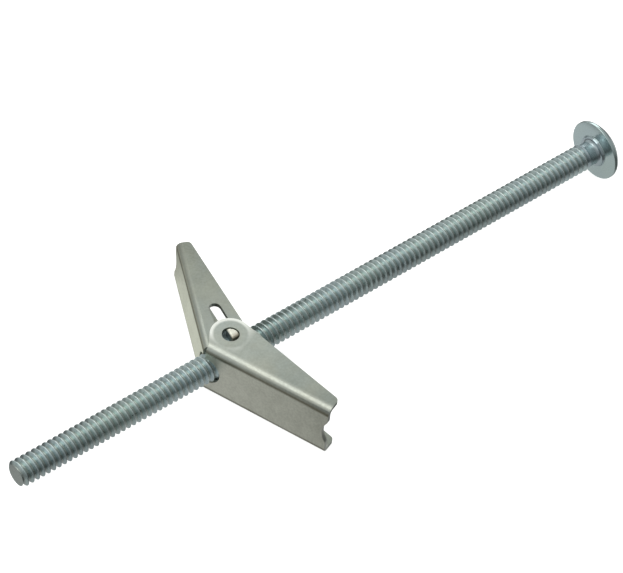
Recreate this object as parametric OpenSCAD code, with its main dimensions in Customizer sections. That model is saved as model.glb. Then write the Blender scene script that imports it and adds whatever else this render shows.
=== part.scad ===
// Spring toggle bolt: a long machine screw, a trunnion nut on its thread,
// and two sprung channel wings that open behind a hollow wall.
// The screw lies along X with its head at the +X end. The origin is on the
// screw's axis at the underside of the head. The wings' hinge axis is along Z.

/* [Screw] */
// Length from the underside of the head to the tip
screw_len = 124; // [110:1:150]
// Major diameter of the thread
thread_d = 4.8; // [4.6:0.05:5.2]
// Pitch of the thread, 24 turns to the inch
thread_pitch = 1.0583; // [0.9:0.0001:1.2]
// Depth of the thread from its crests to its roots
thread_depth = 0.65; // [0.5:0.01:0.72]
// Diameter of the plain neck under the head
neck_d = 4.25; // [4:0.05:4.5]
// Length of the plain neck, with the run-out of the thread
neck_len = 1.2; // [0.8:0.1:3]
// Length over which the last turn runs out
run_out = 0.9; // [0.5:0.05:1.5]
// Diameter of the collar between the neck and the head
collar_d = 5.5; // [5.3:0.05:6.5]
// Length of the collar's straight part
collar_len = 0.55; // [0.3:0.05:1]
// Chamfer at the tip
tip_chamfer = 0.5; // [0.2:0.05:0.9]

/* [Head] */
// Diameter of the mushroom head
head_d = 11; // [10:0.1:13]
// Thickness of the head's rim
head_rim = 0.6; // [0.4:0.05:0.8]
// Height of the crown above the rim
head_crown = 2.4; // [2:0.05:2.7]
// Width of the driver slot
slot_w = 1.2; // [0.8:0.05:1.5]
// Depth of the driver slot below the top of the crown
slot_depth = 1.3; // [1:0.05:1.6]
// Width across the cross recess at the top of the crown
cross_d = 4.6; // [4:0.1:5.5]
// Depth of the cross recess below the top of the crown
cross_depth = 2.2; // [1.8:0.05:2.5]

/* [Wings] */
// Distance from the underside of the head to the hinge axis
toggle_at = 81.3; // [40:0.5:100]
// Thickness of the wings' sheet
sheet = 0.8; // [0.6:0.05:1]
// Outside radius of the folds
fold_r = 1.4; // [1.2:0.05:1.45]
// Length of a wing from the hinge axis to its free end
wing_reach = 21.6; // [18:0.2:28]
// Distance past the screw's middle at which the open wings' tails meet
tail_meet = 0.3; // [0:0.05:0.4]
// Gap between the tails of the open wings
tail_gap = 0.3; // [0.25:0.05:0.4]
// Angle of the outer wing at rest, from square across the screw
outer_sweep = 20; // [16:1:24]
// Angle of the inner wing at rest, from square across the screw
inner_sweep = 26; // [22:1:30]
// Height of the outer wing's flange edge at its free end, above the hinge line
outer_lip = 1.35; // [0.8:0.05:2]
// Height of the inner wing's flange edge at its free end, above the hinge line
inner_lip = 2.2; // [1:0.05:2.4]
// Radius of the flanges' free corners
corner_r = 0.8; // [0.4:0.05:1.1]
// Depth of the scallop in the web's free end
scallop_depth = 0.85; // [0.6:0.05:1.3]
// Radius of the scallop
scallop_r = 4; // [3.2:0.1:4.6]
// Rounding where the scallop meets the end of the web
scallop_round = 0.9; // [0.4:0.05:1.2]
// Length of the inner wing's keyhole slot, between the centres of its ends
keyhole_len = 6.7; // [5:0.1:8]
// Width of the keyhole slot at its far end
keyhole_end_w = 2.1; // [1.6:0.05:2.4]
// Angle of the keyhole slot to the wing, towards the web
keyhole_tilt = 10.5; // [6:0.5:14]
// Gap between the nested flanges of the two wings
side_gap = 0.1; // [0.05:0.01:0.2]
// Gap between the ears and the other wing's web
ear_gap = 0.5; // [0.3:0.05:0.8]
// Gap all round the screw in the notch of a web
notch_gap = 0.45; // [0.35:0.05:0.6]
// Gap left between an open wing's notch and the screw
stop_gap = 0.05; // [0.03:0.01:0.1]

/* [Trunnion nut] */
// Wall of the nut's barrel beside the thread
barrel_wall = 0.65; // [0.5:0.05:0.9]
// Wall of the nut's barrel above and below the thread
barrel_cap = 0.3; // [0.2:0.05:0.4]
// Diameter of the hubs at the barrel's ends, round which the spring's coils tighten
hub_d = 5; // [4.6:0.05:5.2]
// Radial gap between the screw and the nut's bore
bore_gap = 0.05; // [0.02:0.01:0.09]
// Thickness of the trunnion tabs, along the screw
tab_t = 1.3; // [1:0.05:1.6]
// Width of the trunnion tabs, across the screw
tab_w = 2; // [1.6:0.05:2.3]
// Distance of the tabs from the hinge axis, towards the head
tab_shift = 0.4; // [0.2:0.05:0.5]
// Gap between the tabs' corners and the holes that turn on them
pivot_gap = 0.04; // [0.02:0.01:0.09]
// Depth of the tabs' ends below the outer wing's faces
tab_inset = 0.1; // [0.05:0.05:0.45]

/* [Spring] */
// Diameter of the spring's wire
wire_d = 0.4; // [0.34:0.02:0.44]
// Rise of a coil group from the turn by the barrel to the one by the flange
coil_rise = 0.53; // [0.52:0.01:0.65]
// Gap between the spring's coils and what they pass
coil_gap = 0.08; // [0.06:0.01:0.15]
// Gap between the coils and the wings' webs
web_gap = 0.41; // [0.3:0.01:0.6]
// Length of the spring's legs along the webs
leg_len = 10.5; // [7:0.5:14]
// Gap between a leg's end and the web that it pushes
leg_gap = 0.06; // [0.04:0.01:0.15]
// Distance by which a leg's end lies nearer the screw than its coil
leg_drop = 0.3; // [0.25:0.05:0.5]

/* [Hidden] */
$fn = 72;
eps = 0.01;
thread_r = thread_d / 2;
neck_r = neck_d / 2;
collar_r = collar_d / 2;
head_r = head_d / 2;

// The thread's facets in a turn, and how far its end lies under the neck's surface and past its start
thread_sides = 12;
under_neck = 0.05;
into_neck = 0.2;
flare = collar_r - neck_r;
thread_end = -(collar_len + flare + neck_len);

// Across the screw: barrel, coils, web
bore_r = thread_r + bore_gap;
barrel_r = bore_r + barrel_wall;
coil_r = barrel_r + coil_gap / 2 + wire_d / 2;
web_in = coil_r + wire_d / 2 + web_gap;
web_out = web_in + sheet;
ear_r = web_in - ear_gap;

// Along the hinge axis: barrel, coils, inner flange, outer flange
barrel_half = bore_r + barrel_cap;
coil_low = barrel_half + coil_gap / 2 + wire_d / 2;
coil_high = coil_low + coil_rise;
inner_half_in = coil_high + wire_d / 2 + coil_gap;
inner_half = inner_half_in + sheet;
outer_half = inner_half + side_gap + sheet;
hub_half = inner_half_in - coil_gap;
tab_half = outer_half - tab_inset;

// The tabs' corners turn in round holes
hole_r = norm([tab_t / 2 + tab_shift, tab_w / 2]) + pivot_gap;
keyhole_end = keyhole_len * [cos(keyhole_tilt), sin(keyhole_tilt)];
notch_r = thread_r + notch_gap;

// The wire's turns: the angle at which each leg leaves its coil, and the bridge
// between the coil groups, which passes the screw on the outer wing's side
wire_sides = 10;
leg_in_at = 180 - inner_sweep;
leg_out_at = 720 + 180 + outer_sweep;
bridge_mid = 360 + 270;
bridge_half = 90 - asin((thread_r + coil_gap + wire_d / 2) / coil_r);
turn_step = 12;

// Direction of the common tangent on the lower side of two circles, as an angle
function tangent_dir(c1, r1, c2, r2) =
    atan2(c2.y - c1.y, c2.x - c1.x) - acos((r1 - r2) / norm(c2 - c1));

// Direction of the common tangent on the upper side of two circles, as an angle
function tangent_dir_up(c1, r1, c2, r2) =
    atan2(c2.y - c1.y, c2.x - c1.x) + acos((r1 - r2) / norm(c2 - c1));

function on_circle(c, r, a) = c + r * [cos(a), sin(a)];

// Length behind the hinge axis at which a tail ends, at a distance past the screw's middle
function tail_len(sweep, past) = web_in * tan(sweep) + past / cos(sweep);

// Length from the hinge axis at which a notch's floor meets the screw
function notch_floor(sweep) = (thread_r + stop_gap - web_in * sin(sweep)) / cos(sweep);

// Smooth step from 0 to 1
function ease(s) = s * s * (3 - 2 * s);

// Height of the wire at an angle of its turns
function wire_z(a) =
    a < bridge_mid - bridge_half
        ? -coil_high + coil_rise * (a - leg_in_at) / (bridge_mid - bridge_half - leg_in_at)
        : a > bridge_mid + bridge_half
            ? coil_low + coil_rise * (a - bridge_mid - bridge_half)
                / (leg_out_at - bridge_mid - bridge_half)
            : coil_low * (2 * ease((a - bridge_mid + bridge_half) / (2 * bridge_half)) - 1);

// Point of a wing's own frame in the screw's plane: side is 1 for the inner wing, -1 for the outer
function wing_point(u, w, z, sweep, side) =
    [u * sin(sweep) - w * cos(sweep), side * (u * cos(sweep) + w * sin(sweep)), z];

// Turns about X a shape whose own axis is Z, so that its +Z points along +X
module along_x() {
    rotate([0, 90, 0]) children();
}

module cross_recess() {
    top = head_rim + head_crown;
    floor_r = cross_d / 2 * 0.3;
    intersection() {
        union() {
            for (a = [0, 90])
                rotate([0, 0, a])
                    translate([-cross_d / 2, -slot_w / 2, top - cross_depth])
                        cube([cross_d, slot_w, cross_depth + 1]);
        }
        translate([0, 0, top - cross_depth])
            cylinder(h = cross_depth + eps, r1 = floor_r, r2 = cross_d / 2);
    }
}

module driver_slot() {
    translate([-head_r - 1, -slot_w / 2, head_rim + head_crown - slot_depth])
        cube([head_d + 2, slot_w, slot_depth + 1]);
}

// Half section of the neck, the collar and the head, with the radius as x and the height from the
// head's underside as y
module head_section() {
    crown_r = (head_r * head_r + head_crown * head_crown) / (2 * head_crown);
    square([head_r, head_rim]);
    intersection() {
        translate([0, head_rim + head_crown - crown_r]) circle(crown_r, $fn = 180);
        translate([0, head_rim - eps]) square([head_r, head_crown + 1]);
    }
    difference() {
        translate([0, -collar_len - flare]) square([collar_r, collar_len + flare + eps]);
        translate([collar_r, -collar_len - flare]) circle(flare);
    }
    translate([0, thread_end]) square([neck_r, -collar_len - thread_end]);
}

// Radius of the thread's surface at a height: chamfered at the tip, and run out into the neck
function worked_r(r, h) =
    let (
        cone = thread_r - tip_chamfer + max(h + screw_len, 0),
        left = ease(min(max((thread_end - h) / run_out, 0), 1)),
        under = neck_r - under_neck
    )
    min(under + (r - under) * left, cone);

// The threaded shank, wound as one right-hand ridge. Each step of the turn has a point in the root
// and one on the crest half a pitch above it. The ridge starts below the tip, where it is cut off
module shank() {
    spare = 2 * thread_pitch;
    start = -screw_len - spare;
    first_angle = 180;
    steps = ceil((thread_end + into_neck - start) / thread_pitch * thread_sides);
    roots = steps + thread_sides;
    point = function (i, r, lift)
        let (a = first_angle + 360 * i / thread_sides, h = start + thread_pitch * (i / thread_sides + lift))
        [worked_r(r, h) * cos(a), worked_r(r, h) * sin(a), h];
    points = concat(
        [for (i = [0:roots]) point(i, thread_r - thread_depth, 0)],
        [for (i = [0:steps]) point(i, thread_r, 0.5)],
        [[0, 0, start], [0, 0, start + thread_pitch * roots / thread_sides]]
    );
    crest = roots + 1;
    bottom = len(points) - 2;
    top = len(points) - 1;
    flanks = [
        for (i = [0:steps - 1])
            let (c = crest + i, above = i + thread_sides)
            each [[i, c + 1, i + 1], [i, c, c + 1], [c, above + 1, c + 1], [c, above, above + 1]]
    ];
    lower_end = concat(
        [[crest, 0, bottom], [thread_sides, crest, bottom]],
        [for (i = [0:thread_sides - 1]) [bottom, i, i + 1]]
    );
    upper_end = concat(
        [[steps, crest + steps, top], [crest + steps, roots, top]],
        [for (i = [steps:roots - 1]) [top, i + 1, i]]
    );
    difference() {
        polyhedron(points = points, faces = concat(flanks, lower_end, upper_end), convexity = 10);
        translate([0, 0, start - 1]) cylinder(h = spare + 1, r = thread_r + 1);
    }
}

module screw() {
    color("#93a0a6") along_x() {
        difference() {
            rotate_extrude($fn = 96) head_section();
            driver_slot();
            cross_recess();
        }
        shank();
    }
}

module trunnion_nut() {
    color("#a9aca2") translate([-toggle_at, 0, 0]) difference() {
        union() {
            cylinder(h = 2 * barrel_half, r = barrel_r, center = true);
            cylinder(h = 2 * hub_half, r = hub_d / 2, center = true);
            translate([tab_shift - tab_t / 2, -tab_w / 2, -tab_half])
                cube([tab_t, tab_w, 2 * tab_half]);
        }
        along_x() cylinder(h = 4 * barrel_r, r = bore_r, center = true);
    }
}

// Filled section of a channel, with rounded folds on its closed side
module channel_block(half, top, fold) {
    bottom = -2 * ear_r;
    translate([bottom, -half]) square([top - fold - bottom, 2 * half]);
    translate([bottom, -(half - fold)]) square([top - bottom, 2 * (half - fold)]);
    for (s = [-1, 1])
        translate([top - fold, s * (half - fold)]) circle(fold);
}

module channel(half) {
    rotate([90, 0, 90])
        translate([0, 0, -2 * ear_r])
            linear_extrude(wing_reach + 4 * ear_r) difference() {
                channel_block(half, web_out, fold_r);
                translate([-eps, 0]) channel_block(half - sheet, web_in + eps, fold_r - sheet);
            }
}

// Outline of a wing seen along the hinge axis: an ear round the axis, flanges that
// taper to the free end, and the web's line on the +Y side
module side_outline(lip, tail_l) {
    corner = [wing_reach - corner_r, lip + corner_r];
    tail = [-tail_l, web_in];
    edge_at = tangent_dir([0, 0], ear_r, corner, corner_r);
    tail_at = atan2(tail.y, tail.x) + acos(ear_r / norm(tail));
    circle(ear_r);
    translate(corner) circle(corner_r, $fn = 36);
    polygon([
        [0, 0],
        on_circle([0, 0], ear_r, edge_at),
        on_circle(corner, corner_r, edge_at),
        corner,
        [wing_reach, corner.y],
        [wing_reach, web_out + 1],
        [-tail_l, web_out + 1],
        tail,
        on_circle([0, 0], ear_r, tail_at),
    ]);
}

// Cut in the free end of the web, drawn along the wing and the hinge axis
module scallop() {
    centre = wing_reach + scallop_r - scallop_depth;
    reach = scallop_r + scallop_round;
    round_x = wing_reach - scallop_round;
    round_z = sqrt(pow(reach, 2) - pow(centre - round_x, 2));
    meet = [round_x + (centre - round_x) * scallop_round / reach, round_z * scallop_r / reach];
    difference() {
        union() {
            translate([centre, 0]) circle(scallop_r);
            polygon([
                [meet.x, -meet.y],
                [wing_reach + eps, -round_z],
                [wing_reach + 1, -round_z],
                [wing_reach + 1, round_z],
                [wing_reach + eps, round_z],
                meet,
            ]);
        }
        for (s = [-1, 1])
            translate([round_x, s * round_z]) circle(scallop_round, $fn = 48);
    }
}

// Notch in the tail of the web, which straddles the screw and stops the open wing
module notch(sweep) {
    centre = notch_floor(sweep) - notch_r;
    translate([centre, 0]) circle(notch_r);
    translate([-2 * ear_r, -notch_r]) square([centre + 2 * ear_r, 2 * notch_r]);
}

// Cuts through the web, from drawings along the wing and the hinge axis
module web_cuts(sweep) {
    rotate([90, 0, 0])
        translate([0, 0, -web_out - 1])
            linear_extrude(web_out - web_in + fold_r + 1) {
                scallop();
                notch(sweep);
            }
}

module keyhole() {
    low = tangent_dir([0, 0], hole_r, keyhole_end, keyhole_end_w / 2);
    high = tangent_dir_up([0, 0], hole_r, keyhole_end, keyhole_end_w / 2);
    circle(hole_r);
    translate(keyhole_end) circle(keyhole_end_w / 2);
    polygon([
        on_circle([0, 0], hole_r, low),
        on_circle(keyhole_end, keyhole_end_w / 2, low),
        on_circle(keyhole_end, keyhole_end_w / 2, high),
        on_circle([0, 0], hole_r, high),
    ]);
}

// One wing on the +Y side, as it stands open. Its pivot holes are the children
module wing(half, lip, sweep, tail_l) {
    translate([-toggle_at, 0, 0]) rotate([0, 0, 90 - sweep]) difference() {
        intersection() {
            channel(half);
            linear_extrude(2 * half + 2, center = true) side_outline(lip, tail_l);
        }
        web_cuts(sweep);
        linear_extrude(2 * half + 2, center = true) children();
    }
}

module outer_wing() {
    tail_l = tail_len(outer_sweep, tail_meet);
    color("#a5a89c") mirror([0, 1, 0])
        wing(outer_half, outer_lip, outer_sweep, tail_l) circle(hole_r);
}

module inner_wing() {
    tail_l = tail_len(inner_sweep, -tail_meet - tail_gap);
    color("#9fa399") wing(inner_half, inner_lip, inner_sweep, tail_l) keyhole();
}

// A round wire through a list of points
module wire(path) {
    last = len(path) - 1;
    rings = [
        for (i = [0:last])
            let (
                ahead = path[min(i + 1, last)] - path[max(i - 1, 0)],
                t = ahead / norm(ahead),
                across = cross(t, [0, 0, 1]),
                s = across / norm(across),
                n = cross(s, t)
            )
            for (k = [0:wire_sides - 1])
                let (a = 360 * k / wire_sides)
                path[i] + wire_d / 2 * (cos(a) * s + sin(a) * n)
    ];
    polyhedron(
        points = rings,
        faces = concat(
            [[for (k = [wire_sides - 1:-1:0]) k]],
            [[for (k = [0:wire_sides - 1]) last * wire_sides + k]],
            [
                for (i = [0:last - 1], k = [0:wire_sides - 1])
                    let (a = i * wire_sides, b = a + wire_sides, m = (k + 1) % wire_sides)
                    [a + k, a + m, b + m, b + k]
            ]
        ),
        convexity = 6
    );
}

module torsion_spring() {
    leg_w = web_in - leg_gap - wire_d / 2;
    leg_z = coil_high - leg_drop;
    steps = ceil((leg_out_at - leg_in_at) / turn_step);
    turns = [
        for (i = [0:steps])
            let (a = leg_in_at + i * (leg_out_at - leg_in_at) / steps)
            [coil_r * cos(a), coil_r * sin(a), wire_z(a)]
    ];
    path = concat(
        [wing_point(leg_len, leg_w, -leg_z, inner_sweep, 1)],
        turns,
        [wing_point(leg_len, leg_w, leg_z, outer_sweep, -1)]
    );
    color("#7d8288") translate([-toggle_at, 0, 0]) wire(path);
}

screw();
trunnion_nut();
outer_wing();
inner_wing();
torsion_spring();
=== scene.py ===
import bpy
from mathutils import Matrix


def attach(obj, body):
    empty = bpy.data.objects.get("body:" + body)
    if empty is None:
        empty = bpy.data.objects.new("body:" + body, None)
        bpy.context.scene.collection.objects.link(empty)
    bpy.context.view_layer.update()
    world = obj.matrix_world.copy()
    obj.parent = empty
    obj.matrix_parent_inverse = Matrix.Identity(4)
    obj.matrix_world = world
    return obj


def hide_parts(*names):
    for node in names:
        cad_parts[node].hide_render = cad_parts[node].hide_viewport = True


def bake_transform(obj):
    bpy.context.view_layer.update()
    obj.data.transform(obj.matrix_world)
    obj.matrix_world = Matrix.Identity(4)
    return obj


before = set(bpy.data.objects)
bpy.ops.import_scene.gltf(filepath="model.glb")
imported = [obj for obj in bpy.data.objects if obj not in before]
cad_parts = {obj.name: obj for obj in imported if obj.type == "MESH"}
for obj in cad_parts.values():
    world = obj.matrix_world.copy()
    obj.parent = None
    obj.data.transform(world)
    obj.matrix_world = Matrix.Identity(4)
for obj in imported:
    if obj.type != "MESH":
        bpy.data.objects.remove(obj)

"""Spring toggle bolt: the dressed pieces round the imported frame, a pale floor, lamps and a camera.

Pieces are modelled in millimetres, as the frame's solids are drawn, and are scaled to metres when
they are finished. Their finishes measure in millimetres too. The screw lies along X with its head's
underside at the origin, and the wings turn about Z.
"""

import functools
import logging
import math
from contextlib import contextmanager
from dataclasses import dataclass, field
from enum import Enum
from typing import Callable, Iterator, Sequence

import bpy
from mathutils import Matrix, Vector

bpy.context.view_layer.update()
MM = 0.001
SQUARE = 0.99999  # how nearly a face's normal lies along an axis to count as flat
SHARP = math.radians(32)  # edges from this angle are rounded
HARD = math.radians(50)  # edges from this angle stay hard when shaded
NEAR = 1e-3  # places closer than this are the same, in millimetres
WELD = 1e-4  # the same, where the ends of a spun section meet
CLEAR = 1.0  # how far cutters stick out of what they cut, in millimetres
SIDES = 96  # sides of every turned form
GRAIN_BAND = (0.3, 0.7)  # the stretch of the fine noise that a finish uses
PATCH_BAND = (0.36, 0.66)  # the stretch of the large noise
OUTER_SWEEP = 20.0  # how far the open wing leans towards the head, in degrees
INNER_SWEEP = 26.0
LOG = logging.getLogger("toggle_bolt")

Point = tuple[float, float]
Span = tuple[float, float]
Place = tuple[float, float, float]
Colour = tuple[float, float, float]
Spot = tuple[Place, float, float, float]
Piece = bpy.types.Object
Material = bpy.types.Material
Socket = bpy.types.NodeSocket


class Side(Enum):
    """Side of the screw on which a wing stands open."""

    INNER = 1
    OUTER = -1


class Boolean(Enum):
    """What a cutter does to a piece."""

    CUT = "DIFFERENCE"
    JOIN = "UNION"
    KEEP = "INTERSECT"


def deselect() -> None:
    """Leaves object mode with nothing selected."""
    if bpy.context.object is not None and bpy.context.object.mode != "OBJECT":
        bpy.ops.object.mode_set(mode="OBJECT")
    bpy.ops.object.select_all(action="DESELECT")


def pick(piece: Piece) -> None:
    """Makes one object the only one selected, and the active one.

    Args:
        piece: The object to work on.
    """
    deselect()
    piece.select_set(True)
    bpy.context.view_layer.objects.active = piece


def primitive(add: Callable[..., object], **settings: object) -> Piece:
    """Adds a primitive, with its place, turn and size in its mesh.

    Args:
        add: The operator that adds it.
        **settings: The operator's own settings.

    Returns:
        The new object, which is the only one selected.
    """
    deselect()
    add(**settings)
    bpy.ops.object.transform_apply(location=True, rotation=True, scale=True)
    return bpy.context.object


def in_scene(name: str, data: bpy.types.ID) -> Piece:
    """Puts a camera, a lamp or a curve in the scene.

    Args:
        name: The object's name.
        data: What it shows.

    Returns:
        The object.
    """
    piece = bpy.data.objects.new(name, data)
    bpy.context.scene.collection.objects.link(piece)
    return piece


@contextmanager
def opened(piece: Piece) -> Iterator[None]:
    """Opens a piece in edit mode with everything selected, and goes back to object mode.

    Args:
        piece: The object to work on.
    """
    pick(piece)
    bpy.ops.object.mode_set(mode="EDIT")
    bpy.ops.mesh.select_all(action="SELECT")
    yield
    bpy.ops.object.mode_set(mode="OBJECT")


def select_parts(piece: Piece, kind: str, chosen: Sequence[bool]) -> None:
    """Selects edges or faces in edit mode, where the piece stays.

    Args:
        piece: The object.
        kind: EDGE or FACE.
        chosen: For each edge or face, whether it is selected.
    """
    pick(piece)
    bpy.ops.object.mode_set(mode="EDIT")
    bpy.ops.mesh.select_mode(type=kind)
    bpy.ops.mesh.select_all(action="DESELECT")
    bpy.ops.object.mode_set(mode="OBJECT")
    for part, is_chosen in zip(piece.data.edges if kind == "EDGE" else piece.data.polygons, chosen):
        part.select = is_chosen
    bpy.ops.object.mode_set(mode="EDIT")


def select_edges(piece: Piece, test: Callable[[Vector], bool]) -> None:
    """Selects edges in edit mode by their middle.

    Args:
        piece: The object.
        test: Says of an edge's middle whether the edge is selected.
    """
    pick(piece)
    ends = [[piece.data.vertices[i].co for i in edge.vertices] for edge in piece.data.edges]
    select_parts(piece, "EDGE", [test((first + second) / 2) for first, second in ends])


def modify(piece: Piece, kind: str, **settings: object) -> None:
    """Adds a modifier and applies it.

    Args:
        piece: The object to change.
        kind: The modifier's type.
        **settings: The modifier's own settings.
    """
    pick(piece)
    modifier = piece.modifiers.new(kind.title(), kind)
    for name, value in settings.items():
        setattr(modifier, name, value)
    bpy.ops.object.modifier_apply(modifier=modifier.name)


def combine(piece: Piece, tool: Piece, how: Boolean) -> None:
    """Cuts, joins or keeps a piece with a tool body, which is used up.

    Args:
        piece: The object to change.
        tool: The closed body that works on it.
        how: What the tool does.
    """
    modify(piece, "BOOLEAN", object=tool, operation=how.value, solver="EXACT")
    bpy.data.objects.remove(tool)


def line_through(points: Sequence[Vector], closed: bool = False) -> Piece:
    """Draws a line of edges: a plane is merged to one point, which is extruded from place to place.

    Args:
        points: The line's corners.
        closed: Whether the last point joins the first, with a face inside.

    Returns:
        The object that holds the line.
    """
    deselect()
    bpy.ops.mesh.primitive_plane_add(size=1, location=points[0])
    piece = bpy.context.object
    place = Matrix.Translation(points[0])
    bpy.ops.object.mode_set(mode="EDIT")
    bpy.ops.mesh.select_mode(type="VERT")
    bpy.ops.mesh.merge(type="CENTER")
    for before, after in zip(points, points[1:]):
        bpy.ops.mesh.extrude_region_move(TRANSFORM_OT_translate={"value": after - before})
    if closed:
        bpy.ops.mesh.select_all(action="SELECT")
        bpy.ops.mesh.edge_face_add()
    bpy.ops.object.mode_set(mode="OBJECT")
    piece.data.transform(place)
    piece.location = (0, 0, 0)
    return piece


def prism(outline: Sequence[Point], low: float, high: float) -> Piece:
    """Raises an outline in the XY plane to a closed body along Z.

    Args:
        outline: The corners, in order.
        low: The bottom's height.
        high: The top's height.

    Returns:
        The closed body.
    """
    piece = line_through([Vector((x, y, low)) for x, y in outline], closed=True)
    with opened(piece):
        bpy.ops.mesh.extrude_region_move(TRANSFORM_OT_translate={"value": (0, 0, high - low)})
        bpy.ops.mesh.select_all(action="SELECT")
        bpy.ops.mesh.normals_make_consistent(inside=False)
    return piece


def turned(section: Sequence[Point]) -> Piece:
    """Spins a half section about the X axis.

    Args:
        section: Pairs of place along the axis and radius. The first and last radius are 0.

    Returns:
        The closed body.
    """
    piece = line_through([Vector((x, 0, r)) for x, r in section])
    with opened(piece):
        bpy.ops.mesh.spin(steps=SIDES, angle=math.tau, center=(0, 0, 0), axis=(1, 0, 0))
        bpy.ops.mesh.select_all(action="SELECT")
        bpy.ops.mesh.remove_doubles(threshold=WELD)
        bpy.ops.mesh.normals_make_consistent(inside=False)
    return piece


def arc(centre: Point, radius: float, first: float, last: float, count: int) -> list[Point]:
    """Points along an arc.

    Args:
        centre: The arc's centre.
        radius: Its radius.
        first: The first angle, in degrees.
        last: The last angle, in degrees.
        count: The number of points.

    Returns:
        The points, both ends among them.
    """
    angles = [math.radians(first + (last - first) * i / (count - 1)) for i in range(count)]
    return [(centre[0] + radius * math.cos(a), centre[1] + radius * math.sin(a)) for a in angles]


def tangent(c1: Point, r1: float, c2: Point, r2: float, upper: bool) -> float:
    """Direction, from both centres, of the points where a common tangent meets two circles.

    Args:
        c1: The first circle's centre.
        r1: Its radius.
        c2: The second circle's centre.
        r2: Its radius.
        upper: Whether the tangent is on the left of the way from the first to the second.

    Returns:
        The direction in degrees.
    """
    gap = Vector(c2) - Vector(c1)
    spread = math.degrees(math.acos((r1 - r2) / gap.length))
    return math.degrees(math.atan2(gap.y, gap.x)) + (spread if upper else -spread)


def break_edges(piece: Piece, width: float, segments: int = 2, slot: int = -1) -> None:
    """Rounds every sharp edge.

    Args:
        piece: The object.
        width: The rounding's width.
        segments: Its number of facets.
        slot: The material slot that the rounding takes, or -1 for that of the faces beside it.
    """
    modify(
        piece, "BEVEL", width=width, segments=segments, limit_method="ANGLE", angle_limit=SHARP,
        use_clamp_overlap=True, miter_outer="MITER_ARC", material=slot,
    )


def shade(piece: Piece, flats: Sequence[bool]) -> None:
    """Shades the folds and roundings smooth, and the flat faces flat.

    Args:
        piece: The object, in its last place.
        flats: For each face, whether it is flat.
    """
    pick(piece)
    bpy.ops.object.shade_smooth_by_angle(angle=HARD)
    select_parts(piece, "FACE", flats)
    bpy.ops.mesh.faces_shade_flat()
    bpy.ops.object.mode_set(mode="OBJECT")


def hand_over(
    piece: Piece, name: str, material: Material, node: str, place: Matrix = Matrix()
) -> None:
    """Puts a finished piece in its place, in metres, shades it, names it and hides the frame's node that
    it replaces.

    Args:
        piece: The object, modelled in millimetres in its own frame.
        name: Its name.
        material: Its material.
        node: The frame's node that it replaces.
        place: The place of its own frame.
    """
    flats = [max(abs(part) for part in face.normal) > SQUARE for face in piece.data.polygons]
    piece.data.transform(Matrix.Scale(MM, 4) @ place)
    piece.data.update()
    shade(piece, flats)
    piece.name = name
    piece.data.name = name
    if not piece.data.materials:
        piece.data.materials.append(material)
    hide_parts(node)
    LOG.info("%s: %d faces", name, len(piece.data.polygons))


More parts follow.
